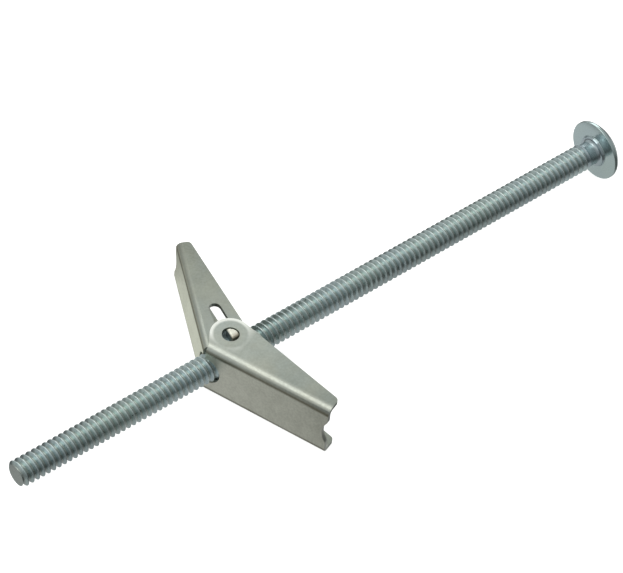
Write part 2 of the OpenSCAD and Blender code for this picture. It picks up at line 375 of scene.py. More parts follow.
class Nodes:
    """A material or world whose nodes are added and joined in one call each."""

    def __init__(self, owner: Material | bpy.types.World) -> None:
        """Starts with an empty tree.

        Args:
            owner: The material or world.
        """
        owner.use_nodes = True
        self.tree = owner.node_tree
        self.tree.nodes.clear()

    @functools.cached_property
    def where(self) -> Socket:
        """Object coordinates."""
        return self.add("ShaderNodeTexCoord").outputs["Object"]

    @functools.cached_property
    def millimetres(self) -> Socket:
        """Object coordinates in millimetres."""
        inputs = {0: self.where, "Scale": 1 / MM}
        return self.add("ShaderNodeVectorMath", inputs, operation="SCALE").outputs[0]

    def add(
        self, kind: str, inputs: dict[str | int, object] | None = None, **settings: object
    ) -> bpy.types.Node:
        """Adds a node.

        Args:
            kind: The node's type.
            inputs: A value or another node's output socket for each input, by name or number.
            **settings: The node's own settings.

        Returns:
            The node.
        """
        node = self.tree.nodes.new(kind)
        for name, value in settings.items():
            setattr(node, name, value)
        for key, value in (inputs or {}).items():
            if isinstance(value, Socket):
                self.tree.links.new(value, node.inputs[key])
            else:
                node.inputs[key].default_value = value
        return node

    def ramp(self, value: Socket, stops: Sequence[tuple[float, Colour]]) -> Socket:
        """Adds a colour ramp.

        Args:
            value: What the ramp reads.
            stops: Places from 0 to 1, each with its colour.

        Returns:
            The colour output.
        """
        node = self.add("ShaderNodeValToRGB", {0: value})
        elements = node.color_ramp.elements
        while len(elements) < len(stops):
            elements.new(0.5)
        for element, (place, colour) in zip(elements, stops):
            element.position = place
            element.color = (*colour, 1.0)
        return node.outputs[0]

    def math(self, operation: str, *values: Socket | float) -> Socket:
        """Adds a math node.

        Args:
            operation: What it does.
            *values: Its inputs in order, each a number or another node's output.

        Returns:
            The result.
        """
        return self.add("ShaderNodeMath", dict(enumerate(values)), operation=operation).outputs[0]

    def product(self, *values: Socket) -> Socket:
        """Multiplies values.

        Args:
            *values: Two or more outputs.

        Returns:
            The product.
        """
        return functools.reduce(lambda first, second: self.math("MULTIPLY", first, second), values)

    def vector(self, operation: str, *values: Socket | Place) -> Socket:
        """Adds a vector math node that gives one number.

        Args:
            operation: What it does.
            *values: Its inputs in order, each a place or another node's output.

        Returns:
            The number.
        """
        node = self.add("ShaderNodeVectorMath", dict(enumerate(values)), operation=operation)
        return node.outputs["Value"]

    def axes(self, where: Socket) -> Sequence[Socket]:
        """Splits coordinates.

        Args:
            where: The coordinates.

        Returns:
            The X, Y and Z outputs.
        """
        return self.add("ShaderNodeSeparateXYZ", {0: where}).outputs

    def mix(self, share: Socket, base: Socket, over: Colour) -> Socket:
        """Mixes a plain colour over another.

        Args:
            share: How much of the plain colour shows, from 0 to 1.
            base: The colour beneath.
            over: The plain colour.

        Returns:
            The mixed colour.
        """
        inputs = {0: share, 6: base, 7: (*over, 1.0)}
        return self.add("ShaderNodeMix", inputs, data_type="RGBA").outputs[2]

    def noise(self, scale: float, detail: float = 2.0) -> Socket:
        """Adds a noise texture on Object coordinates.

        Args:
            scale: Lumps for each metre.
            detail: How much finer noise is laid over it.

        Returns:
            The value output.
        """
        inputs = {"Vector": self.where, "Scale": scale, "Detail": detail}
        return self.add("ShaderNodeTexNoise", inputs).outputs[0]

    def spread(
        self, value: Socket, low: float, high: float, to_low: float = 0.0, to_high: float = 1.0
    ) -> Socket:
        """Maps a stretch of values to another, without going past its ends.

        Args:
            value: What is mapped.
            low: The stretch's low end.
            high: Its high end.
            to_low: What the low end becomes.
            to_high: What the high end becomes.

        Returns:
            The mapped value.
        """
        inputs = {"Value": value, "From Min": low, "From Max": high, "To Min": to_low, "To Max": to_high}
        return self.add("ShaderNodeMapRange", inputs).outputs[0]


@dataclass(frozen=True)
class ZincFinish:
    """Zinc plating on steel: a mottled, slightly rough metal."""

    name: str
    clean: Colour
    cloudy: Colour
    metallic: float = 0.9
    roughness: Span = (0.25, 0.35)
    patch_scale: float = 160.0
    grain_scale: float = 2600.0
    grain_depth: float = 0.02
    patch_detail: float = 4.0
    grain_strength: float = 0.25

    def material(self) -> Material:
        """Builds the material.

        Returns:
            The material, which reads Object coordinates.
        """
        material = bpy.data.materials.new(self.name)
        nodes = Nodes(material)
        patches = nodes.noise(self.patch_scale, self.patch_detail)
        grain = nodes.noise(self.grain_scale)
        bump = nodes.add(
            "ShaderNodeBump",
            {"Strength": self.grain_strength, "Distance": self.grain_depth * MM, "Height": grain},
        )
        shader = nodes.add(
            "ShaderNodeBsdfPrincipled",
            {
                "Base Color": self.colour(nodes, patches),
                "Roughness": self.rough(nodes, grain),
                "Normal": bump.outputs[0],
                "Metallic": self.metallic,
            },
        )
        nodes.add("ShaderNodeOutputMaterial", {"Surface": shader.outputs[0]})
        return material

    def rough(self, nodes: Nodes, grain: Socket) -> Socket:
        """The plating's roughness, which follows the fine noise.

        Args:
            nodes: The material's nodes.
            grain: The fine noise.

        Returns:
            The roughness output.
        """
        return nodes.spread(grain, *GRAIN_BAND, *self.roughness)

    def colour(self, nodes: Nodes, patches: Socket) -> Socket:
        """The plating's colour, which drifts between two tones.

        Args:
            nodes: The material's nodes.
            patches: The large noise.

        Returns:
            The colour output.
        """
        return nodes.ramp(patches, list(zip(PATCH_BAND, (self.clean, self.cloudy))))


@dataclass(frozen=True)
class SheetFinish(ZincFinish):
    """Zinc plating on a folded wing: a dark line by each fold, partly brown stain and partly painted
    shade, painted highlights along the folds and on the ear's rim, and yellowish webs brightened with
    painted light.

    Places are in the wing's own frame: along it from the hinge axis, out to its web, and up. That frame
    has its turn about the hinge, and out is 1 or -1 for the side of its web. A mottle has its scale, the
    band of its noise and how much darker that makes the sheet. The sheet also grows darker towards its
    free end.
    """

    roughness: Span = (0.34, 0.46)
    grain_scale: float = 2200.0
    pivot: Place = (-81.3, 0.0, 0.0)
    turn: float = 0.0
    out: float = 1.0
    reach: float = 21.6
    # The webs' yellowish plating, brightened with painted light.
    web: Colour = (0.74, 0.76, 0.66)
    web_at: float = 4.75
    web_fade: Span = (0.3, 0.02)
    # The sheet is mixed towards this colour, darker towards the free end and in random mottles.
    darker_tone: Colour = (0.16, 0.17, 0.13)
    darkening_along: Span = (0.05, 0.42)
    web_darkening: float = 1.0
    mottles: tuple[tuple[float, Span, Span], ...] = (
        (2400.0, (0.38, 0.62), (-0.05, 0.07)),
        (420.0, (0.35, 0.65), (-0.05, 0.05)),
    )
    # A painted highlight along each fold.
    painted_fold_highlight: Colour = (0.76, 0.77, 0.7)
    fold_highlight_share: float = 0.35
    fold: Span = (3.0, 3.6)
    # A dark line by each fold: partly a brown stain, partly painted shade.
    past_fold: Span = (4.1, 4.5)
    stain_and_painted_shade: Colour = (0.13, 0.12, 0.075)
    crease_line_at: float = 4.55
    crease_line_width: Span = (0.14, 0.55)
    crease_line_share: float = 0.88
    crease_line_wander: float = 0.5
    # A painted highlight on the ear's rim round the hinge hole.
    ear: Colour = (0.92, 0.95, 0.9)
    ear_highlight: Span = (2.7, 3.1)
    ear_highlight_along: Span = (0.6, 3.4)
    ear_highlight_out: Span = (1.6, 3.2)
    ear_highlight_share: float = 0.95

    def colour(self, nodes: Nodes, patches: Socket) -> Socket:
        """The plating's colour over the web, the folds and the ear, with painted light on the web,
        painted highlights along the folds and on the ear's rim, and a dark line by each fold, partly
        stain and partly painted shade.

        Args:
            nodes: The material's nodes.
            patches: The large noise.

        Returns:
            The colour output.
        """
        along, out, up = self.wing_frame(nodes)
        plain = super().colour(nodes, patches)
        on_web = nodes.spread(out, *(self.web_at - fade for fade in self.web_fade))
        # Webs: yellowish plating, brightened with painted light.
        tint = nodes.mix(on_web, plain, self.web)

        # Darker towards the free end, and in random mottles.
        darkening = nodes.product(
            nodes.spread(along, 0.0, self.reach, *self.darkening_along),
            nodes.spread(on_web, 0.0, 1.0, 1.0, self.web_darkening),
        )
        for scale, band, shares in self.mottles:
            darkening = nodes.math("ADD", darkening, nodes.spread(nodes.noise(scale), *band, *shares))
        tint = nodes.mix(nodes.spread(darkening, 0.0, 1.0), tint, self.darker_tone)

        # Painted highlight along each fold.
        before_fold = nodes.spread(out, *self.fold, 0.0, self.fold_highlight_share)
        past_fold = nodes.spread(out, *self.past_fold, self.fold_highlight_share, 0.0)
        tint = nodes.mix(nodes.math("MINIMUM", before_fold, past_fold), tint, self.painted_fold_highlight)

        # Dark line by each fold: partly brown stain, partly painted shade.
        from_line = nodes.math("SUBTRACT", nodes.math("ABSOLUTE", up), self.crease_line_at)
        near_line = nodes.math("ABSOLUTE", from_line)
        wander = nodes.math("MULTIPLY_ADD", patches, self.crease_line_wander, -self.crease_line_wander / 2)
        line = nodes.math("ADD", near_line, wander)
        line = nodes.spread(line, *self.crease_line_width, self.crease_line_share, 0.0)
        tint = nodes.mix(nodes.product(line, on_web), tint, self.stain_and_painted_shade)

        # Painted highlight on the ear's rim.
        squares = (nodes.math("POWER", place, 2.0) for place in (along, out))
        away = nodes.math("SQRT", nodes.math("ADD", *squares))
        ear_highlight = nodes.product(
            nodes.spread(away, *self.ear_highlight, 0.0, self.ear_highlight_share),
            nodes.spread(along, *self.ear_highlight_along, 1.0, 0.0),
            nodes.spread(out, *self.ear_highlight_out, 1.0, 0.0),
        )
        return nodes.mix(ear_highlight, tint, self.ear)

    def wing_frame(self, nodes: Nodes) -> tuple[Socket, Socket, Socket]:
        """Turns Object coordinates into the wing's own, in millimetres.

        Args:
            nodes: The material's nodes.

        Returns:
            The places along the wing, out to its web and up.
        """
        inputs = {"Vector": nodes.millimetres, "Location": self.pivot, "Rotation": (0.0, 0.0, self.turn)}
        mapped = nodes.add("ShaderNodeMapping", inputs, vector_type="TEXTURE")
        along, out, up = nodes.axes(mapped.outputs[0])
        return along, nodes.math("MULTIPLY", out, self.out), up


@dataclass(frozen=True)
class ThreadFinish(ZincFinish):
    """Zinc plating on the screw: darker in the grooves, partly dirt and partly painted shade, with
    painted highlights on the crests, painted shade on the neck, and polished on the head.
    """

    # Darker towards the root of the thread: partly dirt, partly painted shade.
    groove: Colour = (0.43, 0.48, 0.45)
    groove_r: Span = (1.75, 2.05)
    # A painted highlight on the thread's crests.
    crest_highlight: Colour = (0.86, 0.94, 0.95)
    crest_r: Span = (2.31, 2.38)
    crest_share: float = 0.3
    thread_r: float = 2.45
    # Painted shade on the neck under the head.
    neck: Colour = (0.36, 0.43, 0.48)
    neck_from: Span = (-3.4, -3.0)
    neck_to: Span = (0.1, 0.3)
    neck_r: float = 2.95
    neck_share: float = 0.6
    polish: Span = (0.13, 0.2)
    polish_from: Span = (-0.9, -0.6)

    def rough(self, nodes: Nodes, grain: Socket) -> Socket:
        """The plating's roughness: satin on the thread and polished on the neck and the head.

        Args:
            nodes: The material's nodes.
            grain: The fine noise.

        Returns:
            The roughness output.
        """
        on_head = nodes.spread(nodes.axes(nodes.millimetres)[0], *self.polish_from)
        satin = super().rough(nodes, grain)
        polished = nodes.spread(grain, *GRAIN_BAND, *self.polish)
        return nodes.add("ShaderNodeMix", {0: on_head, 2: satin, 3: polished}).outputs[0]

    def colour(self, nodes: Nodes, patches: Socket) -> Socket:
        """The plating's colour, darker towards the thread's root, partly dirt and partly painted shade,
        with painted highlights on the crests and painted shade on the neck.

        Args:
            nodes: The material's nodes.
            patches: The large noise.

        Returns:
            The colour output.
        """
        plain = super().colour(nodes, patches)
        along, y, z = nodes.axes(nodes.millimetres)
        radius = nodes.vector("LENGTH", nodes.add("ShaderNodeCombineXYZ", {1: y, 2: z}).outputs[0])
        # Grooves: partly dirt, partly painted shade.
        in_groove = nodes.spread(radius, *self.groove_r, 1.0, 0.0)
        lined = nodes.mix(in_groove, plain, self.groove)
        # Painted highlight on the crests.
        on_crest = nodes.product(
            nodes.spread(radius, *self.crest_r, 0.0, self.crest_share),
            nodes.math("LESS_THAN", radius, self.thread_r),
        )
        threaded = nodes.mix(on_crest, lined, self.crest_highlight)
        # Painted shade on the neck.
        on_neck = nodes.product(
            nodes.spread(along, *self.neck_from, 0.0, self.neck_share),
            nodes.spread(along, *self.neck_to, 1.0, 0.0),
            nodes.math("LESS_THAN", radius, self.neck_r),
        )
        return nodes.mix(on_neck, threaded, self.neck)


@dataclass(frozen=True)
class NutFinish(ZincFinish):
    """Zinc plating on the nut: grey on the barrel, with a cream painted highlight on the tabs' struck
    ends and brown painted shade on their one side.
    """

    # A painted highlight on the tabs' struck ends.
    tab_end_highlight: Colour = (0.88, 0.88, 0.78)
    tab_end_highlight_from: Span = (5.05, 5.25)
    # Painted shade, brown, on one side of the tabs.
    tab_side_shade: Colour = (0.42, 0.38, 0.29)
    tab_side_shade_across: Span = (-0.6, 0.1)
    tab_side_shade_share: float = 0.8
    tab_from: float = 3.8

    def colour(self, nodes: Nodes, patches: Socket) -> Socket:
        """The plating's colour, with a painted highlight on the tabs' ends and brown painted shade on
        their one side.

        Args:
            nodes: The material's nodes.
            patches: The large noise.

        Returns:
            The colour output.
        """
        plain = super().colour(nodes, patches)
        _, across, up = nodes.axes(nodes.millimetres)
        height = nodes.math("ABSOLUTE", up)
        # Painted highlight on the tabs' ends.
        bright = nodes.mix(nodes.spread(height, *self.tab_end_highlight_from), plain, self.tab_end_highlight)
        # Painted shade on the tabs' one side.
        tab_side_shaded = nodes.product(
            nodes.spread(across, *self.tab_side_shade_across, self.tab_side_shade_share, 0.0),
            nodes.math("GREATER_THAN", height, self.tab_from),
        )
        return nodes.mix(tab_side_shaded, bright, self.tab_side_shade)


@dataclass
class Thread:
    """A coarse rolled thread with rounded crests and roots."""

    major_r: float = 2.4
    pitch: float = 1.0583
    crest_round: float = 0.1146
    root_round: float = 0.152
    steps: int = 40

    @property
    def root_r(self) -> float:
        """Radius at the bottom of the groove."""
        sharp = self.pitch * math.sqrt(3) / 2
        return self.major_r - sharp + self.crest_round + self.root_round

    def outline(self) -> list[Point]:
        """One pitch of the outline, from the middle of a root to the next.

        Returns:
            Pairs of place along the axis and radius.
        """
        low = (0.0, self.root_r + self.root_round)
        top = (self.pitch / 2, self.major_r - self.crest_round)
        far = (self.pitch, low[1])
        return (
            arc(low, self.root_round, -90, -30, 3)
            + arc(top, self.crest_round, 150, 30, 5)
            + arc(far, self.root_round, -150, -90, 3)
        )

    def rod(self, start: float, turns: int) -> Piece:
        """Winds the outline into a long open tube.

        Args:
            start: Place along X of the first root.
            turns: The number of whole turns.

        Returns:
            The tube.
        """
        piece = line_through([Vector((start + x, 0, r)) for x, r in self.outline()])
        modify(
            piece, "SCREW", axis="X", angle=math.tau, screw_offset=self.pitch, iterations=turns,
            steps=self.steps, render_steps=self.steps, use_merge_vertices=False,
        )
        with opened(piece):
            bpy.ops.mesh.remove_doubles(threshold=NEAR)
        return piece


@dataclass
class MachineScrew:
    """The long screw with its mushroom head, one piece along X."""

    length: float = 124.0
    thread: Thread = field(default_factory=Thread)
    tip_chamfer: float = 0.36
    neck_r: float = 2.125
    collar_r: float = 2.75
    collar_len: float = 0.55
    neck_len: float = 1.2
    run_out: float = 0.5
    head_r: float = 5.5
    rim: float = 0.6
    crown: float = 2.4
    slot_w: float = 1.2
    slot_depth: float = 1.3
    cross_w: float = 4.6
    cross_tip_w: float = 1.38
    cross_depth: float = 2.2
    cross_lift: float = 0.01
    fillet: float = 0.12
    edge: float = 0.12
    crown_in: float = 0.02
    neck_lap: float = 0.1
    shank_lap: float = 0.4
    edge_round: float = 0.06

    @property
    def thread_end(self) -> float:
        """Place along X where the plain neck starts."""
        return -(self.collar_len + self.collar_r - self.neck_r + self.neck_len)

    def worked_radius(self, x: float, radius: float) -> float:
        """Radius of the thread's surface after the tip is chamfered and the last turn runs out.

        Args:
            x: Place along the screw.
            radius: The full thread's radius there.

        Returns:
            The radius that is left.
        """
        cone = self.thread.major_r - self.tip_chamfer + (x + self.length)
        fade = min(max((self.thread_end - x) / self.run_out, 0.0), 1.0)
        fade = fade * fade * (3 - 2 * fade)
        return min(self.neck_r + (radius - self.neck_r) * fade, cone)

    def shank(self) -> Piece:
        """The threaded part, closed at both ends.

        Returns:
            The threaded rod.
        """
        start = -self.length - self.thread.pitch
        reach = self.thread_end + self.shank_lap
        piece = self.thread.rod(start, math.ceil((reach - start) / self.thread.pitch))
        for vertex in piece.data.vertices:
            x, y, z = vertex.co
            radius = math.hypot(y, z)
            scale = self.worked_radius(max(x, -self.length), radius) / radius
            vertex.co = (x, y * scale, z * scale)
        ending = {"use_fill": True, "clear_outer": True, "threshold": 1e-5}
        for place, way in ((-self.length, -1), (reach, 1)):
            with opened(piece):
                bpy.ops.mesh.bisect(plane_co=(place, 0, 0), plane_no=(way, 0, 0), **ending)
        with opened(piece):
            bpy.ops.mesh.normals_make_consistent(inside=False)
        return piece

    def head(self) -> Piece:
        """The plain neck, the collar and the head, with its recess.

        Returns:
            The closed body.
        """
        flare = self.collar_r - self.neck_r
        fillet, edge = self.fillet, self.edge
        crown_r = (self.head_r**2 + self.crown**2) / (2 * self.crown)
        centre = (self.rim + self.crown - crown_r, 0.0)
        half = math.degrees(math.asin((self.head_r - self.crown_in) / crown_r))
        inner = self.thread_end - self.neck_lap
        section = [(inner, 0.0), (inner, self.neck_r)]
        section += arc((-self.collar_len - flare, self.collar_r), flare, -90, 0, 8)
        section += arc((-fillet, self.collar_r + fillet), fillet, 180, 90, 4)
        section += arc((edge, self.head_r - edge), edge, 180, 90, 5)
        section += arc((self.rim - edge, self.head_r - edge), edge, 90, 90 - half, 4)
        section += arc(centre, crown_r, half - 1, 0, 24)
        piece = turned(section)
        top = self.rim + self.crown
        block = functools.partial(primitive, bpy.ops.mesh.primitive_cube_add, size=1)
        slot = block(
            location=(top - self.slot_depth + CLEAR, 0, 0),
            scale=(2 * CLEAR, 2 * (self.head_r + CLEAR), self.slot_w),
        )
        combine(piece, slot, Boolean.CUT)
        middle = top - self.cross_depth / 2
        for across in ((self.cross_w, self.slot_w), (self.slot_w, self.cross_w)):
            cone = primitive(
                bpy.ops.mesh.primitive_cone_add, vertices=4, radius1=self.cross_tip_w / 2,
                radius2=self.cross_w / 2, depth=self.cross_depth, rotation=(0, math.pi / 2, 0),
                location=(middle + self.cross_lift, 0, 0),
            )
            arm = block(location=(middle + CLEAR / 2, 0, 0), scale=(self.cross_depth + CLEAR, *across))
            combine(cone, arm, Boolean.KEEP)
            combine(piece, cone, Boolean.CUT)
        return piece

    def build(self, material: Material) -> None:
        """Models the screw, which rides on its own body.

        Args:
            material: Its finish.
        """
        head = self.head()
        break_edges(head, self.edge_round)
        piece = self.shank()
        combine(piece, head, Boolean.JOIN)
        hand_over(piece, "threaded_screw", material, "screw")
        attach(piece, "screw")


@dataclass
class ToggleSizes:
    """Measures that the nut, the wings and the spring share."""

    pivot_x: float = -81.3
    sheet: float = 0.8
    web_in: float = 3.95
    ear_r: float = 3.45
    hole_r: float = 1.49
    notch_r: float = 2.85
    thread_r: float = 2.4
    stop_gap: float = 0.05

    @property
    def web_out(self) -> float:
        """Distance of a web's outer face from the hinge axis."""
        return self.web_in + self.sheet


@dataclass
class ChannelWing:
    """A wing folded from sheet: a web with two flanges that end in ears round the hinge.

    Its web goes past the screw's axis, or ends before it where past is less than 0. A keyhole has its
    length, its slot's width and its tilt in degrees.
    """

    sizes: ToggleSizes
    side: Side
    half: float
    sweep: float
    lip: float
    past: float
    fold_r: float = 1.4
    reach: float = 21.6
    corner_r: float = 0.8
    scallop_depth: float = 0.85
    scallop_r: float = 4.0
    scallop_round: float = 0.9
    edge_round: float = 0.2
    keyhole: tuple[float, float, float] | None = None

    @property
    def tail(self) -> float:
        """How far the web goes on behind the hinge."""
        sweep = math.radians(self.sweep)
        return self.sizes.web_in * math.tan(sweep) + self.past / math.cos(sweep)

    def channel(self) -> Piece:
        """Folds the sheet: the web's inner face, two flanges, rounded folds and the thickness.

        Returns:
            The channel along X with its web at +Y.
        """
        s = self.sizes
        inside = self.half - s.sheet
        start, end = -2 * s.ear_r, self.reach + 2 * CLEAR
        deselect()
        bpy.ops.mesh.primitive_plane_add(size=2, location=(0, 0, 0), rotation=(math.pi / 2, 0, 0))
        piece = bpy.context.object
        piece.scale = ((end - start) / 2, inside, 1)
        piece.location = ((start + end) / 2, s.web_in, 0)
        bpy.ops.object.transform_apply(location=True, rotation=True, scale=True)
        select_edges(piece, lambda p: abs(abs(p.z) - inside) < NEAR)
        bpy.ops.mesh.extrude_edges_move(TRANSFORM_OT_translate={"value": (0, start - s.web_in, 0)})
        select_edges(piece, lambda p: abs(abs(p.z) - inside) < NEAR and abs(p.y - s.web_in) < NEAR)
        inner_r = self.fold_r - s.sheet
        bpy.ops.mesh.bevel(offset=inner_r, segments=16, affect="EDGES", clamp_overlap=False)
        bpy.ops.mesh.select_all(action="SELECT")
        bpy.ops.mesh.normals_make_consistent(inside=False)
        bpy.ops.object.mode_set(mode="OBJECT")
        modify(piece, "SOLIDIFY", thickness=s.sheet, offset=self.outward(piece), use_even_offset=True)
        return piece

    @staticmethod
    def outward(piece: Piece) -> float:
        """Which way the sheet's thickness goes.

        Args:
            piece: The folded face, with the web at +Y.

        Returns:
            1 where the web's faces look outwards, and -1 where they look inwards.
        """
        web = max(piece.data.polygons, key=lambda face: face.area * (abs(face.normal.y) > 0.9))
        return 1.0 if web.normal.y > 0 else -1.0

    def outline(self) -> list[Point]:
        """The wing's outline along the hinge axis: ear, tapered flange, free end, web and tail.

        Returns:
            The corners, in order.
        """
        s = self.sizes
        corner = (self.reach - self.corner_r, self.lip + self.corner_r)
        below = tangent((0, 0), s.ear_r, corner, self.corner_r, upper=False)
        tail = Vector((-self.tail, s.web_in))
        behind = math.degrees(math.atan2(tail.y, tail.x) + math.acos(s.ear_r / tail.length))
        points = arc((0, 0), s.ear_r, behind, below + 360, 48)
        points += arc(corner, self.corner_r, below, 0, 10)
        above = s.web_out + CLEAR
        return points + [(self.reach, above), (-self.tail, above), (-self.tail, s.web_in)]

    def pivot_hole(self) -> list[Point]:
        """The hole round the hinge: a circle, or a keyhole that runs towards the web.

        Returns:
            The corners, in order.
        """
        s = self.sizes
        if self.keyhole is None:
            return arc((0, 0), s.hole_r, 0, 360, 65)[:-1]
        length, width, tilt = self.keyhole
        far = (length * math.cos(math.radians(tilt)), length * math.sin(math.radians(tilt)))
        low = tangent((0, 0), s.hole_r, far, width / 2, upper=False)
        high = tangent((0, 0), s.hole_r, far, width / 2, upper=True)
        return arc((0, 0), s.hole_r, high, low + 360, 44) + arc(far, width / 2, low, high, 28)

    def web_cuts(self) -> list[list[Point]]:
        """The scallop in the free end and the notch round the screw, along the wing and the hinge axis.

        Returns:
            The two outlines.
        """
        s = self.sizes
        centre = self.reach + self.scallop_r - self.scallop_depth
        round_x = self.reach - self.scallop_round
        round_z = math.sqrt((self.scallop_r + self.scallop_round) ** 2 - (centre - round_x) ** 2)
        lean = math.degrees(math.atan2(round_z, centre - round_x))
        scallop = arc((round_x, -round_z), self.scallop_round, 0, lean, 8)
        scallop += arc((centre, 0), self.scallop_r, 180 + lean, 180 - lean, 24)
        scallop += arc((round_x, round_z), self.scallop_round, -lean, 0, 8)
        scallop += [(self.reach + 3 * CLEAR, round_z), (self.reach + 3 * CLEAR, -round_z)]
        sweep = math.radians(self.sweep)
        floor = (s.thread_r + s.stop_gap - s.web_in * math.sin(sweep)) / math.cos(sweep)
        notch = arc((floor - s.notch_r, 0), s.notch_r, -90, 90, 32)
        notch += [(-2 * s.ear_r, s.notch_r), (-2 * s.ear_r, -s.notch_r)]
        return [scallop, notch]

    def build(self, material: Material, edge: Material, name: str, node: str) -> None:
        """Models the wing and stands it open.

        Args:
            material: Its finish.
            edge: The finish of its cut edges, whose bright colour is partly a painted highlight.
            name: The piece's name.
            node: The frame's node that it replaces and the body that it rides on.
        """
        s = self.sizes
        piece = self.channel()
        clear = self.half + CLEAR
        combine(piece, prism(self.outline(), -clear, clear), Boolean.KEEP)
        combine(piece, prism(self.pivot_hole(), -clear, clear), Boolean.CUT)
        for cut in self.web_cuts():
            tool = prism([(u, -z) for u, z in cut], s.web_in - self.fold_r, s.web_out + 2 * CLEAR)
            tool.rotation_euler = (-math.pi / 2, 0, 0)
            pick(tool)
            bpy.ops.object.transform_apply(rotation=True)
            combine(piece, tool, Boolean.CUT)
        for finish in (material, edge):
            piece.data.materials.append(finish)
        break_edges(piece, self.edge_round, segments=4, slot=1)
        flip = math.pi if self.side is Side.OUTER else 0.0
        turn = self.side.value * math.radians(90 - self.sweep)
        at_hinge = Matrix.Translation((s.pivot_x, 0, 0))
        place = at_hinge @ Matrix.Rotation(turn, 4, "Z") @ Matrix.Rotation(flip, 4, "X")
        hand_over(piece, name, material, node, place)
        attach(piece, node)


@dataclass
class TrunnionNut:
    """The barrel that the screw passes through, with a hub and a flat tab at each end."""

    sizes: ToggleSizes
    barrel_r: float = 3.1
    barrel_half: float = 2.75
    hub_r: float = 2.5
    hub_half: float = 3.72
    bore_r: float = 2.45
    tab_r: float = 1.44
    tab_front: Span = (-35.0, 72.0)
    tab_back: tuple[Point, ...] = ((0.12, 1.3), (-0.2, -0.8))
    tab_half: float = 5.4
    tab_round: float = 0.34
    edge_round: float = 0.08

    def tabs(self) -> Piece:
        """One bar through the barrel, which makes both tabs, struck over at its ends.

        Returns:
            The closed bar.
        """
        outline = arc((0, 0), self.tab_r, *self.tab_front, 14) + list(self.tab_back)
        bar = prism(outline, -self.tab_half, self.tab_half)
        select_edges(bar, lambda p: abs(p.z) > self.tab_half - NEAR)
        bpy.ops.mesh.bevel(offset=self.tab_round, segments=6, affect="EDGES", clamp_overlap=True)
        bpy.ops.object.mode_set(mode="OBJECT")
        return bar

    def build(self, material: Material) -> None:
        """Models the nut, which rides on its own body.

        Args:
            material: Its finish.
        """
        drum = functools.partial(primitive, bpy.ops.mesh.primitive_cylinder_add, vertices=SIDES)
        piece = drum(radius=self.barrel_r, depth=2 * self.barrel_half)
        combine(piece, drum(radius=self.hub_r, depth=2 * self.hub_half), Boolean.JOIN)
        combine(piece, self.tabs(), Boolean.JOIN)
        bore = drum(radius=self.bore_r, depth=4 * self.barrel_r, rotation=(0, math.pi / 2, 0))
        combine(piece, bore, Boolean.CUT)
        break_edges(piece, self.edge_round)
        place = Matrix.Translation((self.sizes.pivot_x, 0, 0))
        hand_over(piece, "trunnion_nut_body", material, "trunnion_nut", place)
        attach(piece, "nut")


